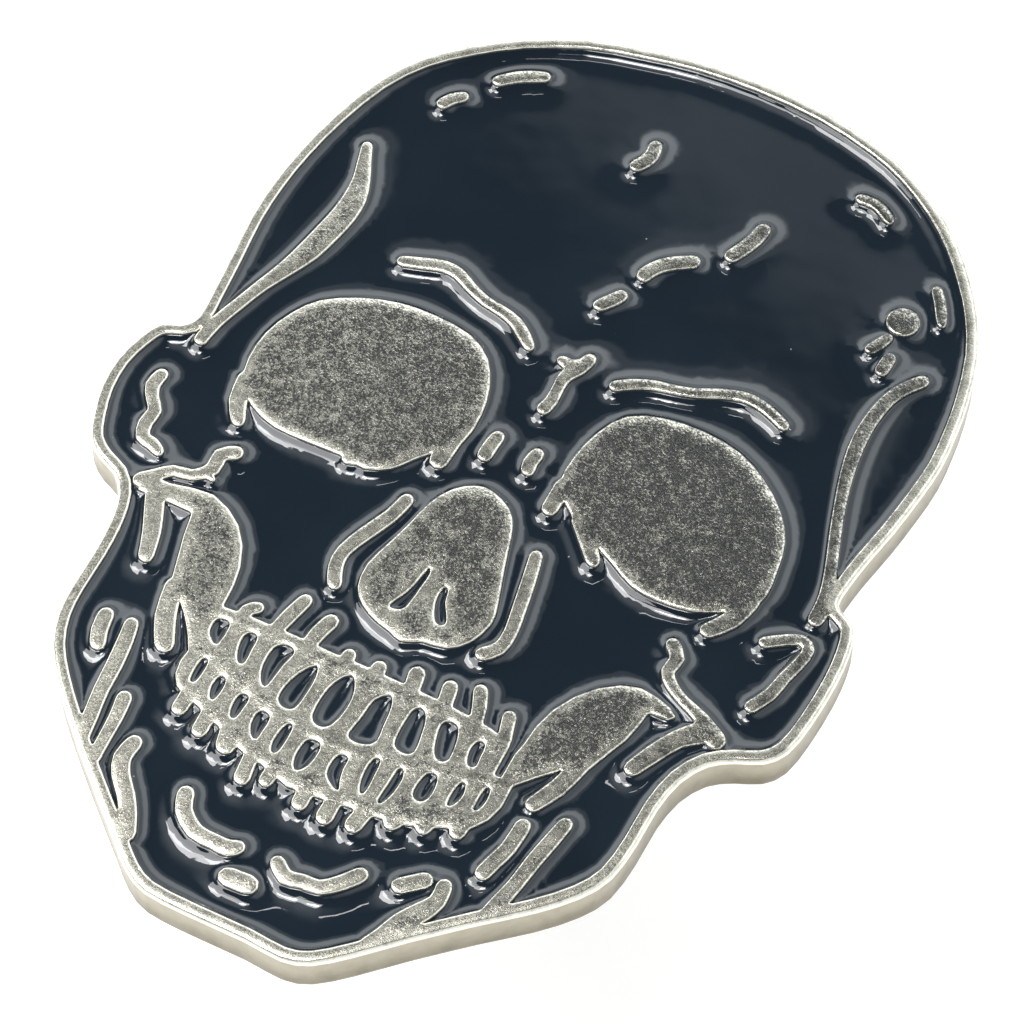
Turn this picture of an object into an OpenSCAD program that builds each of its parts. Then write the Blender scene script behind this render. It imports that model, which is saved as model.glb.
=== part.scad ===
// Soft enamel skull pin on two clutched posts, lying face up on its clutches. Millimetres, +Z up.

/* [Plate] */
// height of the face from chin to crown
pin_h = 37.3; // [25:0.1:50]
// whole thickness of the struck plate, raised lines included
plate_t = 1.5; // [1.2:0.1:2.5]
// depth of the struck pockets below the line tops
pocket_d = 0.6; // [0.4:0.05:0.9]
// width of the raised rim
rim_w = 0.45; // [0.35:0.05:0.8]
// how far the baked enamel sits below the line tops
enamel_drop = 0.3; // [0.1:0.05:0.4]

/* [Posts] */
// post diameter
post_d = 1.15; // [1:0.05:1.3]
// post length from the plate's back to its tip
post_len = 6.2; // [5.5:0.1:6.2]
// distance between the two posts
post_gap = 13.8; // [13.6:0.1:16]
// height of the middle between the posts above the middle of the face
post_mid = 2.1; // [0:0.1:4]
// diameter of the foot soldered to the back
foot_d = 2.6; // [2:0.1:3]

/* [Clutches] */
// cup diameter
cup_d = 11.4; // [10:0.1:12]
// sheet thickness of the cup
sheet_t = 0.35; // [0.3:0.05:0.5]
// radial clearance of the cup's hole round the post
hole_gap = 0.045; // [0.02:0.005:0.08]
// width of a wing
wing_w = 4.4; // [3.5:0.1:4.6]
// height of the wings' tips from the plate's back
clutch_h = 6.4; // [6.3:0.1:7]

/* [Hidden] */
$fn = 72;
drawn_h = 37.3;
k = pin_h / drawn_h;
back_z = clutch_h;
floor_z = back_z + plate_t - pocket_d;
top_z = back_z + plate_t;
fill_z = top_z - enamel_drop;
post_r = post_d / 2;
hole_r = post_r + hole_gap;
post_y = [post_mid + post_gap / 2, post_mid - post_gap / 2];
// the drawn face is moved so its box is centred
centre = [0.27, -0.08];

// the head's edge, anticlockwise from the crown
edge = [
  [0.3, 18.75], [-2, 18.6], [-4, 18.2], [-6, 17.65], [-8, 16.6], [-9.5, 15.45], [-10.7, 14.2],
  [-11.6, 12.6], [-12.2, 10.5], [-12.5, 8.6], [-12.6, 7], [-12.55, 5.4], [-12.3, 3.6], [-12.1, 2],
  [-12, 0.9], [-12.3, 0.42], [-12.95, 0.1], [-13.3, -0.7], [-13.5, -1.8], [-13.4, -3], [-13.05, -4.1],
  [-12.6, -5], [-11.9, -5.5], [-11.2, -5.8], [-10.7, -6.4], [-10.4, -7.4], [-10.25, -8.7],
  [-10.2, -10.1], [-10.05, -11.2], [-9.6, -12.3], [-8.8, -13.3], [-7.8, -14.3], [-6.3, -15.65],
  [-4.3, -17.35], [-3.4, -18.1], [-2.5, -18.5], [-1, -18.55], [1, -18.5], [2.3, -18.55],
  [3.2, -18.25], [4.2, -17.4], [5.4, -16.2], [7, -14.7], [8.3, -13.55], [9.3, -12.45], [9.85, -11.4],
  [10, -10], [10, -8.6], [10.2, -7.4], [10.7, -6.5], [11.4, -6], [12.2, -5.6], [12.7, -4.9],
  [12.9, -3.6], [12.95, -2], [12.85, -0.8], [12.6, 0.1], [12.1, 0.45], [11.75, 0.7], [11.75, 1.4],
  [11.9, 2.6], [12.15, 4], [12.35, 5.6], [12.45, 7], [12.35, 8.4], [12.15, 9.8], [11.7, 11.6],
  [11, 13.1], [10.2, 14.3], [9.2, 15.5], [8, 16.55], [6.5, 17.5], [5, 18.1], [2.8, 18.6]
];
// the round spot on the temple: x, y and width
spot = [8.9, 11.71, 1.16];
// flat raised fields: eyes, nose, cheekbones and the tooth row
eye_left = [
  [-5, 4.65], [-3.6, 4.5], [-2.6, 3.9], [-2, 2.9], [-1.72, 1.8], [-1.75, 0.6], [-2.3, -0.1],
  [-2.8, -0.7], [-3.3, -1.4], [-4.1, -1.85], [-5, -1.75], [-6.2, -1.8], [-7.5, -1.8], [-8.5, -1.45],
  [-9.3, -0.8], [-9.65, 0.2], [-9.65, 1.4], [-9.3, 2.5], [-8.7, 3.4], [-7.6, 4.1], [-6.3, 4.55]
];
eye_right = [
  [5, 4.65], [6.4, 4.45], [7.6, 3.85], [8.6, 3], [9.25, 2], [9.5, 0.9], [9.6, -0.1], [9.3, -0.9],
  [8.5, -1.35], [7.7, -1.75], [6.6, -1.9], [5.6, -1.8], [4.7, -1.35], [3.8, -0.9], [3, -0.5],
  [2.3, 0], [1.75, 0.6], [1.7, 1.8], [1.95, 3], [2.5, 4], [3.6, 4.5]
];
nose = [
  [0, -0.65], [0.8, -1], [1.25, -1.6], [1.55, -2.5], [1.85, -3.4], [2.2, -4.4], [2.35, -5.1],
  [2.1, -6], [1.5, -6.6], [0.7, -6.75], [0.1, -7.05], [-0.4, -6.9], [-1, -6.75], [-1.6, -6.45],
  [-2.1, -5.9], [-2.25, -5], [-2, -3.9], [-1.8, -3], [-1.6, -2], [-1.2, -1.2], [-0.6, -0.72]
];
cheek_left = [
  [-10.3, -5.3], [-9.4, -5.28], [-8.6, -5.08], [-7.9, -5], [-7.2, -5.25], [-6.6, -5.65], [-6.1, -6.25],
  [-5.75, -7], [-5.58, -7.7], [-5.5, -8.5], [-5.2, -8.9], [-5.2, -10.2], [-5.65, -10.5], [-6, -9.95],
  [-6.4, -9.45], [-6.8, -9.05], [-7, -9.6], [-7.3, -9.1], [-7.5, -8.4], [-7.75, -7.6], [-8, -6.8],
  [-8.2, -5.95], [-9.2, -5.95], [-10.2, -6]
];
cheek_right = [
  [9.05, -5.45], [8.75, -5.22], [8.2, -5.06], [7.6, -5], [7, -5.2], [6.4, -5.65], [5.9, -6.25],
  [5.52, -7], [5.32, -7.8], [5.28, -8.5], [5.2, -9], [5.22, -10], [5.7, -10], [6.2, -9.4], [6.75, -8.8],
  [7.1, -9.4], [7.4, -8.7], [7.75, -7.7], [8.05, -6.9], [8.18, -6.2], [8.22, -5.7], [8.85, -5.68]
];
jaws = [
  [-5.6, -8.55], [-4.6, -8.45], [-3, -8.4], [-1.5, -8.4], [-0.5, -8.35], [0.7, -8.35], [2, -8.35],
  [3.2, -8.4], [4.2, -8.5], [4.95, -8.75], [5, -9.9], [5.7, -9.95], [5.75, -10.8], [5.6, -11.4],
  [5.2, -12], [4.4, -12.35], [3.5, -12.75], [2.5, -12.95], [1.5, -13.05], [0.5, -13.2], [-0.5, -13.3],
  [-1.5, -13], [-2.4, -12.85], [-3.4, -12.45], [-4.4, -12.1], [-5.3, -11.8], [-5.6, -11.4],
  [-5.7, -10.9], [-5.65, -10.3]
];
// drawn lines, each a list of x, y and width
brows = [
  [[-7.05, 6.12, 0.45], [-6.4, 6.35, 0.5], [-5.7, 6.58, 0.5], [-5.1, 6.52, 0.48], [-4.5, 6.22, 0.44],
   [-3.8, 5.95, 0.42], [-3.1, 5.84, 0.44], [-2.5, 5.65, 0.48], [-2, 5.3, 0.48], [-1.65, 5, 0.4]],
  [[1.6, 4.9, 0.44], [2.05, 5.22, 0.44], [2.7, 5.52, 0.42], [3.4, 5.68, 0.4], [4.1, 5.9, 0.4],
   [4.8, 6.25, 0.42], [5.5, 6.48, 0.44], [6.1, 6.48, 0.44], [6.7, 6.3, 0.42], [7.2, 6.08, 0.42]]
];
temples = [
  [[-10.5, 9.85, 0.42], [-10.25, 9.2, 0.52], [-9.97, 8.5, 0.65], [-9.78, 7.7, 0.84], [-9.76, 6.9, 0.9],
   [-9.88, 6, 0.9], [-10.06, 5, 0.85], [-10.37, 4, 0.64], [-10.74, 3, 0.5], [-11.04, 2, 0.48],
   [-11.32, 1, 0.5], [-11.42, 0.15, 0.5]],
  [[10.48, 9.82, 0.5], [10.15, 9.38, 0.5], [9.85, 8.8, 0.5], [9.68, 8, 0.52], [9.62, 7.2, 0.54],
   [9.68, 6.3, 0.54], [9.86, 5.3, 0.48], [10.15, 4.2, 0.42], [10.5, 3.1, 0.42], [10.85, 2.1, 0.42],
   [11.15, 1.2, 0.46], [11.33, 0.5, 0.56], [11.35, -0.15, 0.56]]
];
forehead = [
  [[-9.1, 12.72, 0.48], [-8.92, 13.05, 0.48], [-8.62, 13.32, 0.44]],
  [[-7.88, 14.5, 0.46], [-7.4, 14.95, 0.5], [-6.9, 15.25, 0.5], [-6.52, 15.43, 0.44]],
  [[-1.75, 14.5, 0.5], [-1.68, 14.1, 0.54], [-1.76, 13.75, 0.54], [-1.95, 13.42, 0.5]],
  [[3.1, 12.98, 0.56], [3.03, 12.5, 0.56], [2.86, 12, 0.56], [2.64, 11.5, 0.54]],
  [[1.6, 10.68, 0.54], [1.1, 10.36, 0.56], [0.7, 10, 0.56], [0.46, 9.6, 0.56], [0.4, 9.38, 0.54]],
  [[0.1, 8.28, 0.5], [-0.1, 7.95, 0.52], [-0.35, 7.6, 0.5]],
  [[5.45, 15.74, 0.42], [5.9, 15.76, 0.42], [6.3, 15.62, 0.42], [6.68, 15.36, 0.4]],
  [[9.36, 13.42, 0.4], [9.66, 13, 0.42], [9.94, 12.5, 0.4], [10.08, 12.24, 0.34]],
  [[8.72, 10.88, 0.4], [8.56, 10.5, 0.44], [8.4, 10.2, 0.42]],
  [[9.12, 10.14, 0.5], [9.1, 9.6, 0.5]],
  [[0.37, 5.46, 0.5], [0.25, 5, 0.52], [-0.02, 4.5, 0.5], [-0.02, 4, 0.44], [0.02, 3.4, 0.46],
   [-0.06, 3, 0.5]],
  [[-0.4, 5, 0.42], [0, 4.95, 0.5], [0.15, 5.1, 0.5]],
  [[-0.86, 1.3, 0.5], [-0.9, 0.9, 0.54], [-0.9, 0.48, 0.54]],
  [[0.6, 1.3, 0.5], [0.55, 0.9, 0.52], [0.62, 0.62, 0.5]]
];
eye_tails = [
  [[-2.12, 0.6, 0.7], [-2.12, -0.42, 0.66]],
  [[-9.25, -0.5, 0.7], [-9.1, -1.4, 0.64], [-8.68, -2.1, 0.5]],
  [[-4.6, -1.6, 0.6], [-4.75, -1.72, 0.5]],
  [[1.92, 0.6, 0.6], [1.94, -0.38, 0.58]],
  [[3, -0.3, 0.6], [4.1, -1.5, 0.5]],
  [[9.2, -0.5, 0.7], [9, -1.4, 0.66], [8.5, -2.12, 0.56]]
];
nose_sides = [
  [[-2.3, -2.25, 0.5], [-2.45, -3, 0.52], [-2.85, -4, 0.54], [-3.14, -4.9, 0.5], [-3.08, -5.55, 0.52],
   [-2.8, -6.12, 0.5]],
  [[2.4, -2.2, 0.46], [2.62, -3.1, 0.5], [2.85, -4.2, 0.5], [3.02, -5.1, 0.48], [2.98, -5.8, 0.5],
   [2.6, -6.24, 0.5]]
];
ears = [
  [[-11.84, -1.7, 0.5], [-11.88, -2.2, 0.54], [-11.62, -2.65, 0.46], [-11.3, -3.05, 0.5],
   [-11.32, -3.6, 0.52], [-11.12, -4.12, 0.5], [-10.7, -4.22, 0.5], [-10.38, -4.38, 0.42]],
  [[10.28, -1.68, 0.42], [10.8, -1.3, 0.42], [11.3, -1.06, 0.42], [11.64, -1.28, 0.42],
   [11.58, -1.9, 0.42], [11.4, -2.6, 0.44], [11.28, -3.3, 0.46], [10.94, -4, 0.46]]
];
cheek_lines = [
  [[-8.1, -3.24, 0.54], [-8.5, -3.55, 0.54], [-8.46, -4.15, 0.54], [-8.9, -4.66, 0.44],
   [-9.55, -4.8, 0.44], [-9.95, -5.2, 0.5], [-10.3, -5.6, 0.6]],
  [[-8.6, -4.4, 0.3], [-8.25, -4.5, 0.22]],
  [[-9.75, -5.6, 0.66], [-9.36, -6.35, 0.68], [-8.95, -7.2, 0.64], [-8.66, -8.04, 0.54]],
  [[-7.3, -8.6, 0.6], [-6.95, -9.7, 0.72], [-6.44, -10.62, 0.66]],
  [[7.76, -3.1, 0.5], [8.12, -3.5, 0.5], [8.06, -4.05, 0.46], [8.42, -4.48, 0.42], [9, -4.8, 0.4],
   [9.8, -5.12, 0.5], [10.5, -5.6, 0.7]],
  [[9.95, -5.6, 0.8], [9.45, -6.1, 0.66], [9, -6.95, 0.64], [8.66, -7.72, 0.56]],
  [[7.2, -8.4, 0.6], [6.94, -9.4, 0.62], [6.54, -10.28, 0.54]]
];
roots = [
  [[-4.5, -8.06, 0.44], [-4.76, -8.3, 0.48], [-4.76, -9, 0.44]],
  [[-3.3, -7.12, 0.5], [-3.46, -7.8, 0.54], [-3.62, -8.7, 0.5]],
  [[-2.2, -7.42, 0.56], [-2.35, -8, 0.56], [-2.42, -8.8, 0.5]],
  [[-1.08, -8.24, 0.5], [-1.05, -8.9, 0.5]],
  [[-0.02, -8.2, 0.54], [0, -8.9, 0.5]],
  [[1.14, -7.84, 0.58], [1.3, -8.6, 0.56]],
  [[2.3, -7.78, 0.54], [2.48, -8.6, 0.54]],
  [[3.2, -7.45, 0.5], [3.45, -8, 0.5], [3.66, -8.7, 0.46]],
  [[4.44, -7.86, 0.48], [4.7, -8.7, 0.48]],
  [[-4.84, -11.8, 0.56], [-4.84, -12.42, 0.54]],
  [[-3.92, -12, 0.56], [-3.88, -12.82, 0.54]],
  [[-3, -12.4, 0.7], [-2.88, -12.9, 0.68]],
  [[-2, -12.8, 0.5], [-1.86, -13.66, 0.56]],
  [[-1.15, -12.9, 0.5], [-1.15, -13.4, 0.5]],
  [[0.1, -12.9, 0.56], [0.16, -13.6, 0.56]],
  [[1.05, -12.9, 0.54], [1.08, -13.66, 0.6]],
  [[2.1, -12.8, 0.6], [2, -13.5, 0.6]],
  [[3.1, -12.6, 0.6], [3, -12.86, 0.6]],
  [[4, -12, 0.6], [3.94, -12.56, 0.56]],
  [[4.95, -11.8, 0.56], [4.94, -12.22, 0.56]]
];
chin = [
  [[-3.1, -14.95, 0.58], [-2.85, -15.5, 0.58], [-2.2, -15.96, 0.58], [-1.5, -16, 0.56],
   [-1.02, -16, 0.6], [-0.74, -15.82, 0.5]],
  [[0.6, -15.72, 0.52], [1.05, -16.04, 0.56], [1.6, -15.92, 0.52], [2.15, -15.86, 0.52],
   [2.66, -15.4, 0.54], [3.04, -14.9, 0.54]],
  [[-0.5, -16.85, 0.68], [0.18, -16.8, 0.7]],
  [[4.26, -14.68, 0.56], [4.86, -14.14, 0.56]],
  [[5.48, -14.05, 0.54], [5.54, -14.6, 0.58], [5.28, -15.15, 0.7], [4.92, -15.75, 0.72],
   [4.66, -16.4, 0.66], [4.4, -16.9, 0.6]],
  [[-8.64, -10.54, 0.56], [-8.54, -11.1, 0.58], [-8.32, -11.58, 0.54]],
  [[-7.75, -10.46, 0.5], [-7.6, -11.1, 0.56], [-7.45, -12, 0.58], [-7.34, -13, 0.54],
   [-7.14, -14, 0.54], [-7.05, -14.7, 0.6]],
  [[-6.55, -12.9, 0.54], [-6.42, -13.6, 0.5], [-6.35, -14.4, 0.46], [-6.28, -15.2, 0.46]],
  [[-5.44, -14.14, 0.56], [-5.5, -14.75, 0.62], [-5.22, -15.32, 0.62], [-4.72, -15.85, 0.6],
   [-4.32, -16.4, 0.6], [-4, -17, 0.6]],
  [[6.62, -11.08, 0.54], [6.58, -12, 0.54], [6.42, -12.6, 0.54], [6.3, -13.1, 0.54]],
  [[7.75, -10.42, 0.5], [7.62, -11.2, 0.54], [7.48, -12, 0.54], [7.36, -13, 0.52], [7.2, -13.8, 0.56],
   [7.1, -14.5, 0.6]]
];
lines = concat(brows, temples, forehead, eye_tails, nose_sides, ears, cheek_lines, roots, chin);
// enamelled gaps: upper teeth, lower teeth, nostrils
gaps_up = [
  [[-5.2, -8.95], [-4.97, -9.05], [-4.96, -9.85], [-5.22, -9.75], [-5.42, -9.5], [-5.45, -9.05]],
  [[-4.25, -8.98], [-3.97, -9.02], [-3.92, -9.5], [-3.87, -10.05], [-4.05, -10.1], [-4.28, -9.7],
   [-4.37, -9.2]],
  [[-2.95, -8.84], [-2.66, -8.98], [-2.75, -9.5], [-2.8, -10.2], [-2.87, -10.5], [-3.1, -10.3],
   [-3.3, -9.8], [-3.3, -9.05]],
  [[-1.8, -9.05], [-1.62, -9.5], [-1.6, -10.2], [-1.66, -10.75], [-1.95, -10.86], [-2.25, -10.7],
   [-2.3, -10.2], [-2.15, -9.55]],
  [[-0.65, -8.84], [-0.32, -9.3], [-0.22, -10], [-0.35, -10.75], [-0.7, -10.94], [-1.02, -10.7],
   [-1.08, -9.9], [-0.98, -9.3]],
  [[0.78, -8.92], [1, -9.3], [1.1, -10], [1.18, -10.6], [0.9, -10.85], [0.5, -10.9], [0.3, -10.72],
   [0.38, -10], [0.42, -9.3]],
  [[1.85, -8.88], [2.13, -9.1], [2.3, -9.7], [2.4, -10.4], [2.1, -10.55], [1.76, -10.42],
   [1.66, -9.9], [1.66, -9.1]],
  [[2.82, -8.9], [3.18, -8.94], [3.38, -9.4], [3.48, -10.1], [3.25, -10.28], [3, -10.1],
   [2.8, -9.6], [2.7, -9.12]],
  [[4, -9.08], [4.25, -9.12], [4.3, -9.6], [4.34, -9.92], [4.16, -10.02], [4, -9.8], [3.92, -9.4]]
];
gaps_low = [
  [[-5.1, -10.5], [-4.9, -10.52], [-4.86, -11], [-4.9, -11.38], [-5.05, -11.38], [-5.12, -10.95]],
  [[-4.3, -10.82], [-4.06, -10.86], [-4, -11.3], [-4.06, -11.68], [-4.2, -11.6], [-4.34, -11.25]],
  [[-3.4, -11.07], [-3.1, -11.07], [-3.08, -11.5], [-3.12, -11.93], [-3.3, -11.9], [-3.42, -11.5]],
  [[-2.5, -11.3], [-2.17, -11.37], [-2.14, -11.9], [-2.16, -12.28], [-2.35, -12.2], [-2.54, -11.9],
   [-2.6, -11.48]],
  [[-1.5, -11.28], [-1.36, -11.38], [-1.32, -12], [-1.36, -12.38], [-1.5, -12.43], [-1.64, -12.1],
   [-1.62, -11.5]],
  [[-0.7, -11.5], [-0.32, -11.47], [-0.22, -11.8], [-0.28, -12.35], [-0.53, -12.66], [-0.75, -12.3],
   [-0.78, -11.8]],
  [[0.42, -11.52], [0.72, -11.52], [0.74, -11.9], [0.86, -12.36], [1, -12.66], [0.74, -12.58],
   [0.4, -12.3], [0.34, -11.8]],
  [[1.42, -11.16], [1.64, -11.12], [1.7, -11.6], [1.75, -12.1], [1.7, -12.45], [1.52, -12.2],
   [1.41, -11.7]],
  [[2.27, -11.12], [2.42, -11.08], [2.54, -11.4], [2.52, -12], [2.37, -12.46], [2.25, -12.36],
   [2.27, -11.7]],
  [[3.16, -10.82], [3.44, -10.78], [3.57, -11.1], [3.58, -11.6], [3.4, -11.83], [3.12, -11.73],
   [3.06, -11.3]],
  [[4.2, -10.66], [4.36, -10.62], [4.47, -11], [4.4, -11.38], [4.22, -11.56], [4.16, -11.1]],
  [[4.98, -10.46], [5.12, -10.42], [5.2, -10.8], [5.15, -11.18], [5, -11.32], [4.97, -10.9]]
];
nostrils = [
  [[-0.42, -4.2], [-0.3, -4.4], [-0.32, -5], [-0.38, -5.85], [-0.62, -6.05], [-0.86, -6.02],
   [-0.62, -5.4], [-0.5, -4.9]],
  [[0.36, -4.62], [0.52, -4.66], [0.64, -5.1], [0.9, -5.5], [1.04, -5.84], [0.78, -5.92],
   [0.5, -5.5], [0.36, -5.05]]
];

// a smooth curve through hand-picked points
function blend(a, b, c, d, t) =
  0.5 * (2 * b + (c - a) * t + (2 * a - 5 * b + 4 * c - d) * t * t + (3 * b - a - 3 * c + d) * t * t * t);
function open_curve(p, n) = [
  for (i = [0 : len(p) - 2]) for (j = [0 : n - 1])
    blend(p[max(i - 1, 0)], p[i], p[i + 1], p[min(i + 2, len(p) - 1)], j / n),
  p[len(p) - 1]
];
function closed_curve(p, n) = let (m = len(p)) [
  for (i = [0 : m - 1]) for (j = [0 : n - 1])
    blend(p[(i + m - 1) % m], p[i], p[(i + 1) % m], p[(i + 2) % m], j / n)
];
function heading(c, i) =
  let (d = c[min(i + 1, len(c) - 1)] - c[max(i - 1, 0)]) atan2(d[1], d[0]);
function around(q, a) = [q[0] + q[2] / 2 * cos(a), q[1] + q[2] / 2 * sin(a)];

// one drawn line with round ends
module line_2d(p) {
  c = open_curve(p, 2);
  m = len(c) - 1;
  first = heading(c, 0);
  last = heading(c, m);
  polygon(concat(
    [for (i = [0 : m]) around(c[i], heading(c, i) + 90)],
    [for (a = [45, 0, -45]) around(c[m], last + a)],
    [for (i = [m : -1 : 0]) around(c[i], heading(c, i) - 90)],
    [for (a = [225, 180, 135]) around(c[0], first + a)]
  ));
}
module head_2d() {
  scale([k, k]) translate(centre) polygon(closed_curve(edge, 2));
}
// everything in the face that is struck up to line height, less the gaps
module raised_2d() {
  polygon(closed_curve(eye_left, 2));
  polygon(closed_curve(eye_right, 2));
  polygon(closed_curve(nose, 2));
  polygon(cheek_left);
  polygon(cheek_right);
  polygon(jaws);
  for (l = lines) line_2d(l);
  translate([spot[0], spot[1]]) circle(d = spot[2], $fn = 24);
}
// the one connected pocket round all of it
module field_2d() {
  offset(delta = 0.02) offset(delta = -0.02)
    difference() {
      offset(delta = -rim_w) head_2d();
      scale([k, k]) translate(centre) raised_2d();
    }
}
module gap_2d(g) {
  scale([k, k]) translate(centre) polygon(closed_curve(g, 2));
}

module plate() {
  color([0.74, 0.73, 0.68])
    difference() {
      translate([0, 0, back_z]) linear_extrude(height = plate_t) head_2d();
      translate([0, 0, floor_z]) linear_extrude(height = pocket_d + 1) field_2d();
      for (g = concat(gaps_up, gaps_low, nostrils))
        translate([0, 0, floor_z]) linear_extrude(height = pocket_d + 1) gap_2d(g);
    }
}
module enamel_field() {
  color([0.05, 0.06, 0.09])
    translate([0, 0, floor_z]) linear_extrude(height = fill_z - floor_z) field_2d();
}
module enamel_gap(g) {
  color([0.05, 0.06, 0.09])
    translate([0, 0, floor_z]) linear_extrude(height = fill_z - floor_z) gap_2d(g);
}

// a turned post: foot, shank with two grip grooves, pointed tip
module post(y) {
  l = post_len;
  color([0.8, 0.8, 0.78])
    translate([0, y, back_z]) mirror([0, 0, 1]) rotate_extrude()
      polygon([
        [0, 0], [foot_d / 2, 0], [foot_d / 2, 0.15], [foot_d / 2 - 0.1, 0.25], [post_r, 0.25],
        [post_r, 1.8], [post_r - 0.18, 1.92], [post_r - 0.18, 2.28], [post_r, 2.4],
        [post_r, l - 1.6], [post_r - 0.18, l - 1.48], [post_r - 0.18, l - 1.12], [post_r, l - 1],
        [post_r - 0.05, l - 0.8], [0.12, l - 0.06], [0.06, l], [0, l]
      ]);
}
// the ring of solder round a post's foot
module solder(y) {
  color([0.66, 0.66, 0.66])
    translate([0, y, back_z]) mirror([0, 0, 1]) rotate_extrude()
      polygon([
        [foot_d / 2, 0], [foot_d / 2 + 0.42, 0], [foot_d / 2 + 0.24, 0.05], [foot_d / 2 + 0.08, 0.13],
        [foot_d / 2, 0.15]
      ]);
}
// drawn sheet cup: rim, web, hub and the collar round the hole
module cup(y) {
  r = cup_d / 2;
  s = sheet_t;
  color([0.8, 0.79, 0.75])
    translate([0, y, back_z]) mirror([0, 0, 1]) rotate_extrude()
      polygon([
        [hole_r, 0.5], [hole_r + 0.12, 0.4], [hole_r + 0.3, 0.45], [hole_r + 0.45, 0.9],
        [hole_r + 0.7, 1.6 - s], [2.15, 1.6 - s], [2.3, 1.5 - s], [2.55, 0.3], [2.8, 0.12],
        [r - 0.7, 0.02], [r - 0.2, 0.02], [r, 0.2], [r, 0.95], [r - 0.15, 1.1], [r - s, 1.05],
        [r - s, 0.5], [r - 0.55, 0.02 + s], [3, 0.12 + s], [2.88, 0.3 + s], [2.66, 1.45], [2.45, 1.6],
        [hole_r + 0.4, 1.6], [hole_r + 0.1, 1.45], [hole_r, 1.2]
      ]);
}
// the middle of the butterfly spring, seated on the hub, with ears beside the wings
module saddle(y) {
  color([0.78, 0.77, 0.73])
    translate([0, y, back_z]) mirror([0, 0, 1]) {
      translate([0, 0, 1.6]) difference() {
        linear_extrude(height = 0.3) offset(r = 0.5) square([3.9, 4.9], center = true);
        translate([0, 0, -1]) cylinder(r = 1.6, h = 3);
      }
      for (s = [-1, 1]) for (x = [-1.5, 1.5])
        translate([x, s * (2.95 - 0.15), 1.9]) rotate([90, 0, 0])
          translate([0, 0, -0.15]) linear_extrude(height = 0.3)
            polygon([[-0.6, -0.2], [0.6, -0.2], [0.6, 0.5], [0.4, 0.8], [0, 0.95], [-0.4, 0.8], [-0.6, 0.5]]);
    }
}
// half of the spring: jaw, fold and wing, squeezed about the fold
wing_t = 0.3;
wing_line = [
  [0.06, 2.15], [0.6, 2.12], [1.05, 2.2], [1.3, 2.55], [1.45, 3], [1.75, 3.5], [2.4, 3.85],
  [3.4, 4], [4.5, 4.15], [5.3, 4.6], [5.85, 5.3], [6.2, 5.95], [6.6, 6.25]
];
function wing_side(d) = let (c = open_curve(wing_line, 3)) [
  for (i = [0 : len(c) - 1])
    let (a = heading(c, i) + 90) [c[i][0] + d * cos(a), c[i][1] + d * sin(a)]
];
function flip(p) = [for (i = [len(p) - 1 : -1 : 0]) p[i]];
wing_low = max([for (q = wing_side(wing_t / 2)) q[1]]);
module wing(y, side) {
  color([0.8, 0.79, 0.75])
    translate([0, y, back_z]) mirror([side < 0 ? 1 : 0, 0, 0]) mirror([0, 0, 1])
      translate([0, 0, clutch_h - wing_low]) difference() {
        intersection() {
          translate([0, wing_w / 2, 0]) rotate([90, 0, 0]) linear_extrude(height = wing_w)
            polygon(concat(wing_side(wing_t / 2), flip(wing_side(-wing_t / 2))));
          // rounded tips in plan
          linear_extrude(height = 9) offset(r = 1.2, $fn = 24)
            translate([-1.9, 1.2 - wing_w / 2]) square([7.4, wing_w - 2.4]);
        }
        translate([0, 0, 1]) cylinder(r = post_r + 0.03, h = 4);
        // a jaw narrower than the wing
        for (s = [-1, 1]) translate([-1, s * 2.4 - 1.2, 1]) cube([2.25, 2.4, 1.5]);
      }
}

plate();
enamel_field();
enamel_gap(gaps_up[0]);  // enamel_upper_1
enamel_gap(gaps_up[1]);  // enamel_upper_2
enamel_gap(gaps_up[2]);  // enamel_upper_3
enamel_gap(gaps_up[3]);  // enamel_upper_4
enamel_gap(gaps_up[4]);  // enamel_upper_5
enamel_gap(gaps_up[5]);  // enamel_upper_6
enamel_gap(gaps_up[6]);  // enamel_upper_7
enamel_gap(gaps_up[7]);  // enamel_upper_8
enamel_gap(gaps_up[8]);  // enamel_upper_9
enamel_gap(gaps_low[0]);  // enamel_lower_1
enamel_gap(gaps_low[1]);  // enamel_lower_2
enamel_gap(gaps_low[2]);  // enamel_lower_3
enamel_gap(gaps_low[3]);  // enamel_lower_4
enamel_gap(gaps_low[4]);  // enamel_lower_5
enamel_gap(gaps_low[5]);  // enamel_lower_6
enamel_gap(gaps_low[6]);  // enamel_lower_7
enamel_gap(gaps_low[7]);  // enamel_lower_8
enamel_gap(gaps_low[8]);  // enamel_lower_9
enamel_gap(gaps_low[9]);  // enamel_lower_10
enamel_gap(gaps_low[10]);  // enamel_lower_11
enamel_gap(gaps_low[11]);  // enamel_lower_12
enamel_gap(nostrils[0]);  // enamel_nostril_left
enamel_gap(nostrils[1]);  // enamel_nostril_right
post(post_y[0]);  // post_top
post(post_y[1]);  // post_bottom
solder(post_y[0]);  // solder_top
solder(post_y[1]);  // solder_bottom
cup(post_y[0]);  // cup_top
saddle(post_y[0]);  // saddle_top
wing(post_y[0], -1);  // wing_left_top
wing(post_y[0], 1);  // wing_right_top
cup(post_y[1]);  // cup_bottom
saddle(post_y[1]);  // saddle_bottom
wing(post_y[1], -1);  // wing_left_bottom
wing(post_y[1], 1);  // wing_right_bottom
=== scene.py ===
import math

import bmesh
import bpy
import numpy as np
from mathutils import Matrix, Vector
from mathutils.geometry import delaunay_2d_cdt


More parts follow.
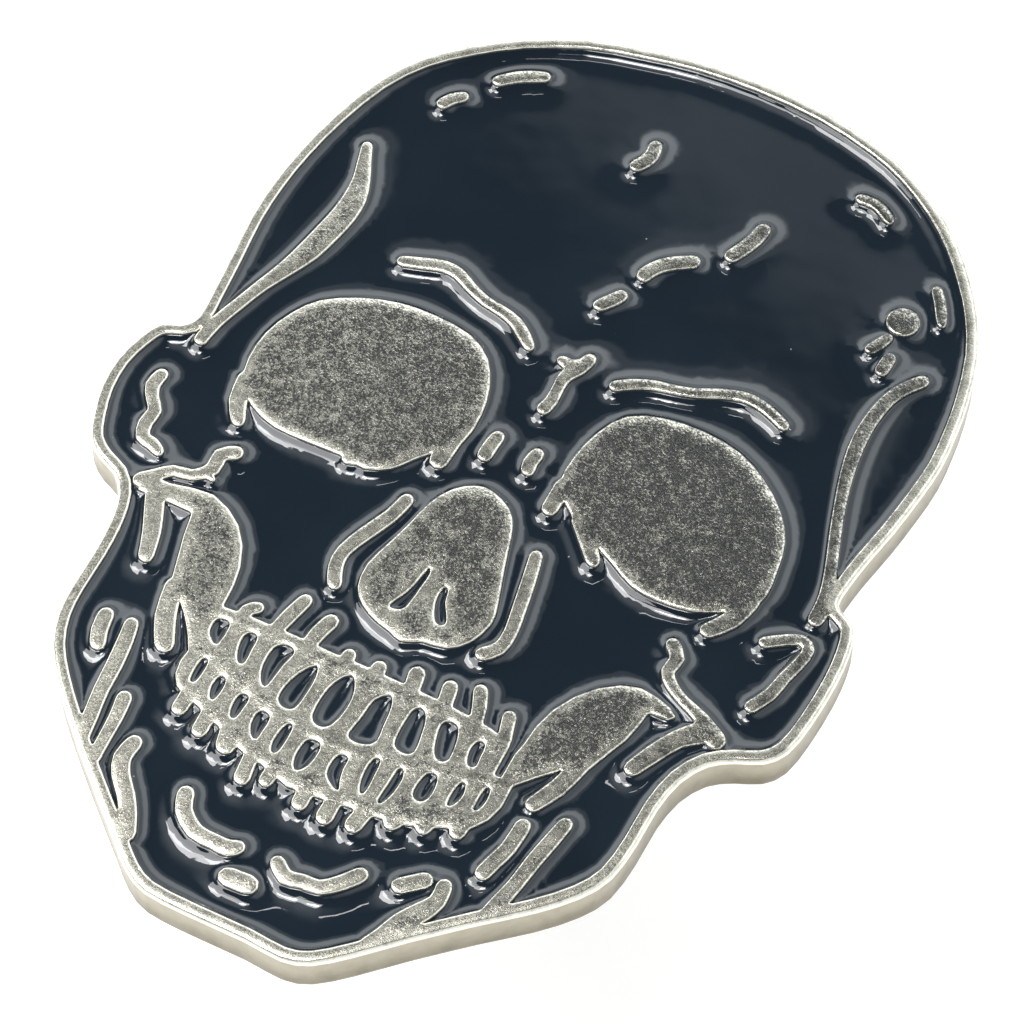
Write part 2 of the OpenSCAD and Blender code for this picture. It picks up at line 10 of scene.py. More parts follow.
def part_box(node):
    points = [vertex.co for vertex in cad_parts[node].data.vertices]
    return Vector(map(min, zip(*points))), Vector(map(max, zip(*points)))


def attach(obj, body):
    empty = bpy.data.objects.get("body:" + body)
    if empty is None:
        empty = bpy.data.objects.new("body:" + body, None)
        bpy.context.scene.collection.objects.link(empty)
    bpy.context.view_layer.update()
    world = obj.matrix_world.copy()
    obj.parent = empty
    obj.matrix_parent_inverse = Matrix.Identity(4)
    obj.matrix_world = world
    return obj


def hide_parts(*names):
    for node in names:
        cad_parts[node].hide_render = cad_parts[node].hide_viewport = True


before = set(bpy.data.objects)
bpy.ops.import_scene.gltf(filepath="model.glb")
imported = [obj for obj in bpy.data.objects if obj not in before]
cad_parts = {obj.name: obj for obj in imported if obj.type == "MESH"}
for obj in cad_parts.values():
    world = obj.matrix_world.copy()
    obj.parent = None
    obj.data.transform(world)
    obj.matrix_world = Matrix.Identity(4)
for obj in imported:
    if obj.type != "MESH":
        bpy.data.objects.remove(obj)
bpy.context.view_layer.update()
mm = 0.001  # the sums below are in millimetres
print("frame loaded")

# heights of the struck plate, read off its own nodes
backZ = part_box("plate")[0].z / mm
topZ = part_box("plate")[1].z / mm
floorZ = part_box("enamel_field")[0].z / mm
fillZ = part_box("enamel_field")[1].z / mm


outlines = {
    "spacing": 0.085,  # mm between points along an edge
    "fewest": 14,  # points round the smallest outline
    "ease": 0.035,  # mm over which facets are eased
    "dense": 0.02,  # mm between the points that are eased
    "cell": 0.03,  # mm, the distance grid
    "reach": 1.1, "rimReach": 0.6,  # mm, how far distances are worked out from a line and from the head's edge
}


# every closed outline of the flat faces of a node at one height
def flatLoops(node, height):
    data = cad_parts[node].data
    points = np.array([v.co for v in data.vertices]) / mm
    triangles = np.array([p.vertices[:] for p in data.polygons])
    triangles = triangles[(np.abs(points[triangles][:, :, 2] - height) < 1e-3).all(1)]
    keys, same = np.unique(np.round(points[:, :2], 4), axis=0, return_inverse=True)
    triangles = same.reshape(-1)[triangles]
    sides = np.vstack([triangles[:, [0, 1]], triangles[:, [1, 2]], triangles[:, [2, 0]]])
    used = set(map(tuple, sides))
    after = {a: b for a, b in used if (b, a) not in used}
    loops = []
    while after:
        start, at = next(iter(after.items()))
        loop = [start]
        del after[start]
        while at != start and at in after:
            loop.append(at)
            at = after.pop(at)
        if len(loop) > 3:
            loops.append(keys[loop])
    return loops


# positive round metal, negative round a pocket
def areaOf(loop):
    x, y = loop[:, 0], loop[:, 1]
    return 0.5 * float((x * np.roll(y, -1) - y * np.roll(x, -1)).sum())


# even spacing along a closed loop, its facets and corners eased over a short length
def easedLoop(loop, spacing, ease):
    closed = np.vstack([loop, loop[:1]])
    run = np.r_[0, np.cumsum(np.linalg.norm(np.diff(closed, axis=0), axis=1))]
    fine = max(24, int(run[-1] / outlines["dense"]))
    at = np.arange(fine) * run[-1] / fine
    dense = np.stack([np.interp(at, run, closed[:, i]) for i in (0, 1)], 1)
    waves = np.fft.rfftfreq(fine, run[-1] / fine) * 2 * np.pi
    keep = np.exp(-0.5 * (waves * ease) ** 2)
    soft = np.fft.irfft(np.fft.rfft(dense, axis=0) * keep[:, None], fine, axis=0)
    count = max(outlines["fewest"], round(run[-1] / spacing))
    at = np.arange(count) * fine / count
    ring = np.vstack([soft, soft[:1]])
    return np.stack([np.interp(at, np.arange(fine + 1), ring[:, i]) for i in (0, 1)], 1)


def sidewaysOf(loop):
    along = np.roll(loop, -1, 0) - np.roll(loop, 1, 0)
    along /= np.linalg.norm(along, axis=1)[:, None] + 1e-12
    return np.stack([-along[:, 1], along[:, 0]], 1)  # to the left, into the metal


loops = [easedLoop(loop, outlines["spacing"], outlines["ease"]) for loop in flatLoops("plate", topZ)]
loops.sort(key=areaOf)
rimOutside = loops.pop()  # the head's own edge
print("outlines:", len(loops), "inside the head's edge")

gridLow = rimOutside.min(0) - outlines["rimReach"]
gridSize = np.ceil((rimOutside.max(0) + outlines["rimReach"] - gridLow) / outlines["cell"]).astype(int)
gridX = gridLow[0] + outlines["cell"] * np.arange(gridSize[0])
gridY = gridLow[1] + outlines["cell"] * np.arange(gridSize[1])


# smallest distance to a loop on a window of the grid, and the window
def distanceTo(loop, reach):
    cell = outlines["cell"]
    low = np.maximum(((loop.min(0) - reach - gridLow) / cell).astype(int), 0)
    high = np.minimum(((loop.max(0) + reach - gridLow) / cell).astype(int) + 2, gridSize)
    found = np.full(high - low, reach, np.float32)
    for a, b in zip(loop, np.roll(loop, -1, 0)):
        i0, j0 = np.maximum(((np.minimum(a, b) - reach - gridLow) / cell).astype(int), low)
        i1, j1 = np.minimum(((np.maximum(a, b) + reach - gridLow) / cell).astype(int) + 2, high)
        px = (gridX[i0:i1] - a[0])[:, None]
        py = (gridY[j0:j1] - a[1])[None, :]
        d = b - a
        t = np.clip((px * d[0] + py * d[1]) / (d @ d + 1e-12), 0, 1)
        here = np.hypot(px - t * d[0], py - t * d[1])
        part = found[i0 - low[0]:i1 - low[0], j0 - low[1]:j1 - low[1]]
        np.minimum(part, here, out=part)
    return found, (slice(low[0], high[0]), slice(low[1], high[1]))


# 1 inside the loops taken together, 0 outside
def insideOf(some):
    flips = np.zeros(gridSize + 1, np.int32)
    for loop in some:
        for a, b in zip(loop, np.roll(loop, -1, 0)):
            lo, hi = (a, b) if a[0] < b[0] else (b, a)
            i = np.arange(np.searchsorted(gridX, lo[0]), np.searchsorted(gridX, hi[0]))
            if len(i):
                y = lo[1] + (gridX[i] - lo[0]) * (hi[1] - lo[1]) / (hi[0] - lo[0])
                np.add.at(flips, (i, np.searchsorted(gridY, y)), 1)
    return np.cumsum(flips, axis=1)[:-1, :-1] % 2


# a field on the grid softened by so many cells
def blurred(field, sigma):
    reach = int(3 * sigma) + 1
    weights = np.exp(-0.5 * (np.arange(-reach, reach + 1) / sigma) ** 2)
    weights /= weights.sum()
    for axis in (0, 1):
        padded = np.pad(field, [(reach, reach) if a == axis else (0, 0) for a in (0, 1)], mode="edge")
        total = np.zeros_like(field)
        for n, w in enumerate(weights):
            part = [slice(None), slice(None)]
            part[axis] = slice(n, n + field.shape[axis])
            total += w * padded[tuple(part)]
        field = total
    return field


# a field's values at points that lie between the grid's own
def lookUp(field, points):
    at = (points - gridLow) / outlines["cell"]
    i = np.clip(at.astype(int), 0, gridSize - 2)
    f = np.clip(at - i, 0, 1)
    i, j, u, v = i[:, 0], i[:, 1], f[:, 0], f[:, 1]
    return (
        field[i, j] * (1 - u) * (1 - v) + field[i + 1, j] * u * (1 - v)
        + field[i, j + 1] * (1 - u) * v + field[i + 1, j + 1] * u * v
    )


enamelShape = {
    "width": 0.22,  # mm over which the enamel's climb up the metal dies away
    "wet": 0.97,  # how much of the full climb one edge gives
    "soften": 1.2,  # cells that the climb is softened by
    "sunk": 0.02,  # mm that the middle of a pool lies under its filled height
    "lip": 0.004,  # mm that the enamel's edge stays below the edge of a line
    "rings": [-0.006, 0.012, 0.035, 0.065, 0.1, 0.145, 0.2, 0.265, 0.345, 0.44, 0.56, 0.72],
    "fill": 0.3, "fillFrom": 0.84,  # mm between points in a pool's middle, and from an edge to them
}
metalIn = insideOf(loops + [rimOutside])
metalOut = np.full(gridSize, outlines["reach"], np.float32)  # unsigned, to the nearest pocket edge
dry = np.ones(gridSize, np.float32)
for loop in loops:
    near, window = distanceTo(loop, outlines["reach"])
    np.minimum(metalOut[window], near, out=metalOut[window])
    dry[window] *= 1 - enamelShape["wet"] * np.exp(-near / enamelShape["width"])
metalDepth = np.where(metalIn == 1, metalOut, -metalOut)
rimNear, rimWindow = distanceTo(rimOutside, outlines["rimReach"])
rimDepth = np.full(gridSize, outlines["rimReach"], np.float32)
rimDepth[rimWindow] = rimNear
wet = blurred(1 - dry, enamelShape["soften"])
print("distance fields ready", gridSize)


# points with their heights; of points that share a cell only the first is kept
class PointCloud:
    def __init__(self):
        self.xy, self.z, self.links, self.taken = [], [], [], set()

    # keep says which points may go in, thin leaves out crowded ones, linked joins neighbours with an edge
    def addRing(self, points, heights, cell, keep=None, thin=True, linked=True):
        keep = np.ones(len(points), bool) if keep is None else keep
        last, first = None, None
        for (x, y), z, ok in zip(points, heights, keep):
            key = (round(x / cell), round(y / cell))
            if not ok or (thin and key in self.taken):
                last = None
                continue
            self.taken.add(key)
            self.xy.append((float(x), float(y)))
            self.z.append(float(z))
            here = len(self.xy) - 1
            if linked and last is not None:
                self.links.append((last, here))
            first = here if first is None else first
            last = here
        if linked and last is not None and all(keep):
            self.links.append((last, first))


# which points lie inside an odd number of the loops
def insideLoops(points, some):
    order = np.argsort(points[:, 0])
    xs, ys = points[order, 0], points[order, 1]
    over = np.zeros(len(points), int)
    for loop in some:
        ends = np.roll(loop, -1, 0)
        lefts = np.searchsorted(xs, np.minimum(loop[:, 0], ends[:, 0]))
        rights = np.searchsorted(xs, np.maximum(loop[:, 0], ends[:, 0]))
        for a, b, i, j in zip(loop, ends, lefts, rights):
            if j > i:
                over[i:j] += ys[i:j] > a[1] + (xs[i:j] - a[0]) * (b[1] - a[1]) / (b[0] - a[0])
    found = np.empty(len(points), bool)
    found[order] = over % 2 == 1
    return found


# triangles laid over a cloud inside its outline; a point that the laying adds has no height yet
def layMesh(cloud, edges):
    found = delaunay_2d_cdt([Vector(p) for p in cloud.xy], cloud.links, [], 0, 1e-5, True)
    points = np.array([v[:] for v in found[0]])
    triangles = np.array(found[2])
    z = np.array([cloud.z[origin[0]] if origin else np.nan for origin in found[3]])
    middles = points[triangles].mean(1)
    same = [loop.astype(np.float32).astype(float) for loop in edges]  # rounded as the points were
    triangles = triangles[insideLoops(middles, same)]
    d = points[triangles[:, 1]] - points[triangles[:, 0]]
    e = points[triangles[:, 2]] - points[triangles[:, 0]]
    turned = d[:, 0] * e[:, 1] - d[:, 1] * e[:, 0] < 0
    triangles[turned] = triangles[turned][:, ::-1]
    return points, z, triangles


# a mesh object from points in millimetres, shaded smooth up to an angle
def makePiece(name, points, faces, smoothAngle):
    data = bpy.data.meshes.new(name)
    data.from_pydata([tuple(p) for p in np.asarray(points) * mm], [], [tuple(f) for f in faces])
    data.validate()
    data.update()
    piece = bpy.data.objects.new(name, data)
    bpy.context.scene.collection.objects.link(piece)
    data.set_sharp_from_angle(angle=math.radians(smoothAngle))
    for p in data.polygons:
        p.use_smooth = True
    return piece


# open edges of a sheet of triangles, as a dictionary from each point to the next
def rimOf(triangles):
    sides = np.vstack([triangles[:, [0, 1]], triangles[:, [1, 2]], triangles[:, [2, 0]]])
    used = set(map(tuple, sides.tolist()))
    return {a: b for a, b in used if (b, a) not in used}


plateShape = {
    "lineRound": 0.055,  # mm, rounding of every struck line's top edge
    "lineCrown": 0.03,  # mm that a line's middle stands over its edge
    "crownWidth": 0.08,  # mm over which the crown rises
    "rimRound": 0.14,  # mm, rounding of the head's top edge
    "backRound": 0.08,  # mm, rounding of the back edge
    "draft": 0.02,  # mm that a pocket's wall leans
    "rings": [0, 0.006, 0.018, 0.036, 0.06, 0.09, 0.15],  # mm from a pocket's edge to each row of points
    "rimRings": [0, 0.012, 0.035, 0.07, 0.11, 0.16],  # mm from the head's edge
    "fill": 0.42, "backFill": 1.2,  # mm between points on the flats of the face and of the back
    "wallTop": 0.32, "wallRows": [0.5, 0.16],  # rows down the outer wall, mm under the face and over the back
    "backEdge": 0.2,  # mm from the head's edge to where the flat back starts
}


# how far a rounded edge has dropped at a depth in from it
def roundedEdge(depth, radius):
    inner = np.clip(1 - np.asarray(depth, float) / radius, 0, 1)
    return radius * (1 - np.sqrt(np.clip(1 - inner**2, 0, 1)))


def crownOf(depth):
    return plateShape["lineCrown"] * np.exp(-np.asarray(depth, float) / plateShape["crownWidth"])


def metalTop(depth, rim):
    return topZ - roundedEdge(depth, plateShape["lineRound"]) - crownOf(np.minimum(depth, rim)) \
        - roundedEdge(rim, plateShape["rimRound"])


rowHeight = 0.866  # of staggered points, as a part of the step between them


# points in staggered rows over a rectangle
def hexPoints(low, high, step):
    across = np.arange(low[0], high[0], step)
    rows = np.arange(low[1], high[1], step * rowHeight)
    return np.vstack([
        np.stack([across + (n % 2) * step / 2, np.full(len(across), y)], 1) for n, y in enumerate(rows)
    ])


# the struck face: rows of points beside every edge, then wider ones over the flats and the pockets' floors
def plateFace():
    cloud, shape = PointCloud(), plateShape
    for d in shape["rimRings"]:
        ring = rimOutside + sidewaysOf(rimOutside) * d
        depth = np.maximum(lookUp(metalDepth, ring), 0.1)
        keep = lookUp(rimDepth, ring) > d - 0.012 if d else None
        cloud.addRing(ring, metalTop(depth, np.full(len(ring), float(d))), 0.02 + 0.1 * d, keep, d > 0)
    for d in shape["rings"]:
        for loop in loops:
            ring = loop + sidewaysOf(loop) * d
            heights = metalTop(np.full(len(ring), float(d)), lookUp(rimDepth, ring))
            keep = lookUp(metalDepth, ring) > d - 0.014 if d else None
            cloud.addRing(ring, heights, 0.014 + 0.2 * d, keep, d > 0, d < 0.1)
    for loop in loops:
        ring = loop - sidewaysOf(loop) * shape["draft"]
        cloud.addRing(ring, np.full(len(ring), floorZ), 0.014, lookUp(metalDepth, ring) < -0.004)
    fill = hexPoints(rimOutside.min(0), rimOutside.max(0), shape["fill"])
    depth, rim = lookUp(metalDepth, fill), lookUp(rimDepth, fill)
    head = insideLoops(fill, [rimOutside])
    on, low = head & (depth > 0.24) & (rim > 0.25), head & (depth < -0.15)
    cloud.addRing(fill[on], metalTop(depth[on], rim[on]), 0.05, linked=False)
    cloud.addRing(fill[low], np.full(int(low.sum()), floorZ), 0.05, linked=False)
    points, z, triangles = layMesh(cloud, [rimOutside])
    missing = np.isnan(z)
    depth, rim = lookUp(metalDepth, points), lookUp(rimDepth, points)
    z[missing] = np.where(depth > -0.01, metalTop(np.maximum(depth, 0), rim), floorZ)[missing]
    return points, z, triangles


# rows down the outer wall and round the back edge: mm in from the head's edge, and height
def wallRows():
    shape = plateShape
    r = shape["backRound"]
    rows = [(0, topZ - shape["wallTop"])] + [(0, backZ + up) for up in shape["wallRows"] + [r]]
    for a in (math.pi / 6, math.pi / 3, math.pi / 2):
        rows.append((r * (1 - math.cos(a)), backZ + r * (1 - math.sin(a))))
    return rows + [(shape["backEdge"], backZ)]


def buildPlate():
    shape = plateShape
    points, z, triangles = plateFace()
    chain = rimOf(triangles)
    start = next(iter(chain))
    order, at = [start], chain[start]
    while at != start and len(order) <= len(chain):
        order.append(at)
        at = chain[at]
    edge = points[order]
    inward = sidewaysOf(edge)
    verts, faces, before = [np.column_stack([points, z])], [tuple(t) for t in triangles], order
    count = len(points)
    for d, h in wallRows():
        verts.append(np.column_stack([edge + inward * d, np.full(len(edge), h)]))
        ring = list(range(count, count + len(edge)))
        for n in range(len(edge)):
            m = (n + 1) % len(edge)
            faces.append((before[n], ring[n], ring[m], before[m]))
        before, count = ring, count + len(edge)
    # the flat back takes the last row's own points, known by their number, and new ones inside it
    back = edge + inward * shape["backEdge"]
    cloud = PointCloud()
    cloud.addRing(back, np.arange(len(back)), 0.001, thin=False)
    inner = hexPoints(rimOutside.min(0), rimOutside.max(0), shape["backFill"])
    inner = inner[insideLoops(inner, [rimOutside]) & (lookUp(rimDepth, inner) > 0.55)]
    cloud.addRing(inner, np.full(len(inner), -1), 0.05, linked=False)
    flat, numbers, flatFaces = layMesh(cloud, [back])
    names, extra = [], []
    for (x, y), number in zip(flat, numbers):
        if number >= 0:
            names.append(before[int(number)])
        else:
            names.append(count + len(extra))
            extra.append((x, y, backZ))
    verts.append(np.array(extra))
    faces += [(names[c], names[b], names[a]) for a, b, c in flatFaces]
    everything = np.vstack(verts)
    piece = makePiece("struckPlate", everything, faces, 50)
    # how far each point is from the nearest edge of the metal, and from the head's edge, for the finish
    rim = lookUp(rimDepth, everything[:, :2])
    depth = np.minimum(np.maximum(lookUp(metalDepth, everything[:, :2]), 0), rim)
    for label, values in (("fromEdge", depth), ("fromRim", rim)):
        made = piece.data.attributes.new(label, "FLOAT", "POINT")
        made.data.foreach_set("value", values.astype(np.float32))
    return piece


plate = buildPlate()
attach(plate, "pin")
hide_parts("plate")
print("plate:", len(plate.data.polygons), "faces")


# one piece of enamel for each pool, its edge drawn up the metal
def enamelHeight(points):
    contact = topZ - plateShape["lineRound"] - plateShape["lineCrown"] - enamelShape["lip"]
    base = fillZ - enamelShape["sunk"]
    return base + (contact - base) * lookUp(wet, points)


# the pool's skin, and walls and an underside that sit in the pocket; outer is its edge, islands are lines in it
def buildPool(name, outer, islands):
    cloud, shape = PointCloud(), enamelShape
    edges = [loop - sidewaysOf(loop) * shape["rings"][0] for loop in [outer] + islands]  # just inside the metal
    for d in shape["rings"]:
        for loop in [outer] + islands:
            ring = loop - sidewaysOf(loop) * d
            keep = lookUp(metalDepth, ring) < -d + 0.012 if d > 0 else None
            cloud.addRing(ring, enamelHeight(ring), 0.02 + 0.22 * max(d, 0), keep, d > 0, d < 0.05)
    fill = hexPoints(outer.min(0), outer.max(0), shape["fill"])
    fill = fill[(lookUp(metalDepth, fill) < -shape["fillFrom"]) & insideLoops(fill, [outer])]
    cloud.addRing(fill, enamelHeight(fill), 0.05, linked=False)
    points, z, triangles = layMesh(cloud, edges)
    missing = np.isnan(z)
    z[missing] = enamelHeight(points[missing])
    chain = rimOf(triangles)
    order = {a: n for n, a in enumerate(chain)}
    count = len(points)
    walls = [(a, count + order[a], count + order[b], b) for a, b in chain.items()]
    under = PointCloud()
    under.xy = [tuple(points[a]) for a in order]
    under.z = [0.0] * len(order)
    under.links = [(order[a], order[b]) for a, b in chain.items()]
    flat, _, flatFaces = layMesh(under, edges)
    closed = len(flat) == len(order)
    verts = np.vstack([np.column_stack([points, z]), np.column_stack([flat, np.full(len(flat), floorZ)])])
    faces = [tuple(t) for t in triangles] + (walls if closed else [])
    faces += [(count + c, count + b, count + a) for a, b, c in flatFaces]
    return makePiece(name, verts, faces, 60), closed


pools = [loop for loop in loops if areaOf(loop) < 0]
islands = [loop for loop in loops if areaOf(loop) > 0]


# the pool whose outline fits an enamel node's box best
def poolOf(node):
    low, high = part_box(node)
    middle = np.array([(low.x + high.x) / 2, (low.y + high.y) / 2]) / mm
    return min(pools, key=lambda loop: np.abs((loop.min(0) + loop.max(0)) / 2 - middle).max()
               + abs(loop.max(0)[0] - high.x / mm))


enamelPieces = []
for node in [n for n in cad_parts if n.startswith("enamel")]:
    own = islands if node == "enamel_field" else []
    piece, closed = buildPool(node.replace("enamel_", "enamelPool_"), poolOf(node), own)
    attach(piece, "pin")
    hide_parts(node)
    enamelPieces.append(piece)
    if node == "enamel_field" or not closed:
        print("enamel:", node, len(piece.data.polygons), "faces, closed:", closed)
print("enamel pools:", len(enamelPieces))


# a node's socket by its number, its name or its identifier
def socketOf(sockets, name):
    if isinstance(name, int):
        return sockets[name]
    return next(s for s in sockets if s.enabled and name in (s.identifier, s.name))


# a wire carries a value through a node tree, and sums of wires read as sums
class Wire:
    def __init__(self, tree, socket=None):
        self.tree, self.socket = tree, socket

    # any node: its kind, its settings, what its sockets get, and which output goes on
    def node(self, kind, settings, values, output=0):
        made = self.tree.nodes.new(kind)
        for name, setting in settings.items():
            setattr(made, name, setting)
        for name, value in values.items():
            socket = socketOf(made.inputs, name)
            if isinstance(value, Wire):
                self.tree.links.new(value.socket, socket)
            else:
                socket.default_value = value
        return Wire(self.tree, socketOf(made.outputs, output)) if len(made.outputs) else None

    def math(self, operation, *values):
        return self.node("ShaderNodeMath", {"operation": operation}, dict(enumerate(values)))

    def __add__(self, other):
        return self.math("ADD", self, other)

    def __sub__(self, other):
        return self.math("SUBTRACT", self, other)

    def __rsub__(self, other):
        return self.math("SUBTRACT", other, self)

    def __mul__(self, other):
        return self.math("MULTIPLY", self, other)

    def __truediv__(self, other):
        return self.math("DIVIDE", self, other)

    __radd__, __rmul__ = __add__, __mul__

    # 0 below low, 1 above high, and a smooth rise between them
    def rise(self, low, high):
        return self.node("ShaderNodeMapRange", {"interpolation_type": "SMOOTHSTEP"},
                         {"Value": self, "From Min": low, "From Max": high})

    # the first colour where this is 0, the second where it is 1
    def blend(self, first, second):
        return self.node("ShaderNodeMix", {"data_type": "RGBA"},
                         {"Factor_Float": self, "A_Color": first, "B_Color": second}, "Result_Color")


# a colour
def shade(red, green, blue):
    return (red, green, blue, 1)


# a material to be painted on Object coordinates, the wire that carries them, and its shader
def newMaterial(name, settings):
    material = bpy.data.materials.new(name)
    material.use_nodes = True
    tree = material.node_tree
    shader = tree.nodes["Principled BSDF"]
    for key, value in settings.items():
        shader.inputs[key].default_value = value
    place = Wire(tree).node("ShaderNodeTexCoord", {}, {}, "Object")
    return material, place, shader


# joins a wire to one of the shader's sockets
def feed(wire, shader, name):
    wire.tree.links.new(wire.socket, shader.inputs[name])


# noise with features of a size in millimetres, drawn out where squeeze is small
def noise(place, size, detail=2.0, rough=0.5, squeeze=None):
    if squeeze:
        place = place.node("ShaderNodeVectorMath", {"operation": "MULTIPLY"}, {0: place, 1: squeeze}, "Vector")
    return place.node("ShaderNodeTexNoise", {"noise_dimensions": "3D"},
                      {"Vector": place, "Scale": 1 / (size * mm), "Detail": detail, "Roughness": rough}, 0)


def heightOf(place):
    return place.node("ShaderNodeSeparateXYZ", {}, {0: place}, "Z")


# bump of a height given in millimetres
def bump(height, shader):
    made = height.node("ShaderNodeBump", {}, {"Height": height, "Distance": mm, "Strength": 1.0}, "Normal")
    feed(made, shader, "Normal")


nickelFinish = {
    "grain": 0.075, "coarse": 0.5,  # mm, sizes of the blasted grain and of its patches
    "sparkle": 0.09, "mottle": 0.7,  # mm, sizes of the bright facets and of the wall's clouding
    "depth": 0.011,  # mm from pit to peak
    "pale": shade(0.72, 0.69, 0.59), "dark": shade(0.085, 0.086, 0.083),
    "wall": shade(0.30, 0.28, 0.22), "wallDark": shade(0.125, 0.112, 0.08),
    "back": shade(0.38, 0.37, 0.33), "backDark": shade(0.27, 0.26, 0.225),
    "paintedLight": (-17.0, -12.0, 0.0),  # per metre, painted light: the face is coloured paler towards this way, as if lit more from there
    "field": (0.15, 0.48),  # mm from an edge where the dull flat of a wide field begins
}


def struckNickel():
    finish = nickelFinish
    material, place, shader = newMaterial("struckNickel", {"Metallic": 1.0})
    face = heightOf(place).rise((topZ - 0.24) * mm, (topZ - 0.14) * mm)
    fine = noise(place, finish["grain"], 1.5, 0.6)
    patches = noise(place, finish["coarse"], 2.0)
    cells = place.node("ShaderNodeTexVoronoi", {"feature": "F1"},
                       {"Vector": place, "Scale": 1 / (finish["sparkle"] * mm), "Randomness": 1.0}, "Color")
    sparkle = place.node("ShaderNodeSeparateColor", {}, {0: cells}, "Red")
    edge = place.node("ShaderNodeAttribute", {"attribute_name": "fromEdge"}, {}, "Fac")
    rim = 1 - place.node("ShaderNodeAttribute", {"attribute_name": "fromRim"}, {}, "Fac").rise(0.3, 0.5)
    worn = 1 - edge.rise(0.0, 0.07)  # edges are polished bright by wear
    dull = edge.rise(*finish["field"])
    # painted light: the face's colour grows paler towards one side, standing in for brighter light falling
    # there
    paintedLightSlope = place.node("ShaderNodeVectorMath", {"operation": "DOT_PRODUCT"},
                        {0: place, 1: finish["paintedLight"]}, "Value")
    # narrow strokes and the rim are rubbed smoother, wide fields lie duller
    calm = (0.62 + edge.rise(0.1, 0.4) * 0.38) * (1 - rim * 0.5)
    grit = (fine.rise(0.40, 0.60) * 0.5 + sparkle * 0.4 - 0.42) * calm
    light = grit + (patches - 0.5) * 0.8 + worn * 0.28 - dull * 0.32 + rim * 0.22 \
        + paintedLightSlope * (1 - rim * 0.8) + 0.54
    faceColor = light.rise(0.05, 1.0).blend(finish["dark"], finish["pale"])
    mottle = noise(place, finish["mottle"], 3.0, 0.6)
    # painted shade: the outer wall's colour darkens towards the back edge, over its real clouding from the
    # mottle
    wallShade = 1 - heightOf(place).rise((backZ + 0.1) * mm, (topZ - 0.3) * mm)
    wallColor = (mottle.rise(0.35, 0.75) * 0.2 + wallShade * 0.75).blend(finish["wall"], finish["wallDark"])
    under = heightOf(place).rise((backZ + 0.01) * mm, (backZ + 0.1) * mm)
    backColor = (fine * 0.7 + patches * 0.3).rise(0.3, 0.7).blend(finish["back"], finish["backDark"])
    feed(face.blend(under.blend(backColor, wallColor), faceColor), shader, "Base Color")
    faceRough = 0.3 - fine.rise(0.3, 0.7) * 0.1 - worn * 0.04
    wallRough = 0.36 + mottle * 0.1
    feed(wallRough + (faceRough - wallRough) * face, shader, "Roughness")
    blasted = (fine + sparkle * 0.2) * finish["depth"] * face \
        * (0.2 + edge.rise(0.04, 0.3) * 0.8) * (1 - rim * 0.5)
    skin = (mottle * 0.006 + noise(place, 0.1, 1.0) * 0.0014) * (1 - face)
    bump(blasted + skin, shader)
    return material


enamelFinish = {
    "deep": shade(0.0052, 0.0088, 0.0135), "thin": shade(0.0068, 0.0112, 0.0166),
    "cloud": 5.0, "smear": 2.4,  # mm, sizes of the patches of deeper colour and of the duller patches
    "wave": (1.6, 0.006),  # mm across and mm high, slow waves in the skin
    "dust": 0.9, "speck": shade(0.16, 0.15, 0.13),  # mm between possible specks, and their colour
}


def bakedEnamel():
    finish = enamelFinish
    material, place, shader = newMaterial("bakedEnamel", {"IOR": 1.52})
    cloud = noise(place, finish["cloud"], 2.0)
    color = cloud.rise(0.3, 0.75).blend(finish["deep"], finish["thin"])
    # dust baked in: tiny pale dots in a few of the cells
    cells = {"Vector": place, "Scale": 1 / (finish["dust"] * mm)}
    near = place.node("ShaderNodeTexVoronoi", {"feature": "F1"}, cells, "Distance")
    which = place.node("ShaderNodeTexVoronoi", {"feature": "F1"}, cells, "Color")
    chance = place.node("ShaderNodeSeparateColor", {}, {0: which}, "Red")
    specks = (1 - near.rise(0.02, 0.045)) * chance.rise(0.86, 0.87)
    feed(specks.blend(color, finish["speck"]), shader, "Base Color")
    smear = noise(place, finish["smear"], 3.0, 0.6)
    feed(0.018 + smear.rise(0.4, 0.8) * 0.03 + specks * 0.3, shader, "Roughness")
    size, high = finish["wave"]
    bump(noise(place, size, 1.0) * high + specks * 0.004, shader)
    return material


turnedFinish = {
    "pale": shade(0.34, 0.335, 0.315), "dark": shade(0.16, 0.155, 0.14),
    "lathe": 0.07, "stain": 0.9,  # mm, sizes of the tool marks and of the stains
}


def turnedSteel():
    finish = turnedFinish
    material, place, shader = newMaterial("turnedSteel", {"Metallic": 1.0})
    rings = noise(place, finish["lathe"], 2.0, 0.6, (0.06, 0.06, 1))
    cloud = noise(place, finish["stain"], 3.0)
    dulled = (rings * 0.6 + cloud * 0.4).rise(0.35, 0.7)
    feed(dulled.blend(finish["pale"], finish["dark"]), shader, "Base Color")
    feed(0.2 + rings * 0.14 + cloud.rise(0.5, 0.8) * 0.12, shader, "Roughness")
    bump(rings * 0.006, shader)
    return material


solderFinish = {
    "pale": shade(0.30, 0.30, 0.295), "dark": shade(0.12, 0.118, 0.11),
    "lump": 0.3, "grain": 0.05,  # mm
}


def dullSolder():
    finish = solderFinish
    material, place, shader = newMaterial("dullSolder", {"Metallic": 1.0})
    lumps = noise(place, finish["lump"], 3.0, 0.6)
    grain = noise(place, finish["grain"], 2.0)
    bright = (lumps * 0.7 + grain * 0.3).rise(0.35, 0.68)
    feed(bright.blend(finish["dark"], finish["pale"]), shader, "Base Color")
    feed(0.38 + grain * 0.22, shader, "Roughness")
    bump(lumps * 0.03 + grain * 0.006, shader)
    return material


clutchFinish = {
    "pale": shade(0.36, 0.35, 0.32), "dark": shade(0.17, 0.16, 0.135),
    "scratch": 0.03, "stain": 1.3,  # mm across the fine rubbing marks, and the size of the stains
}


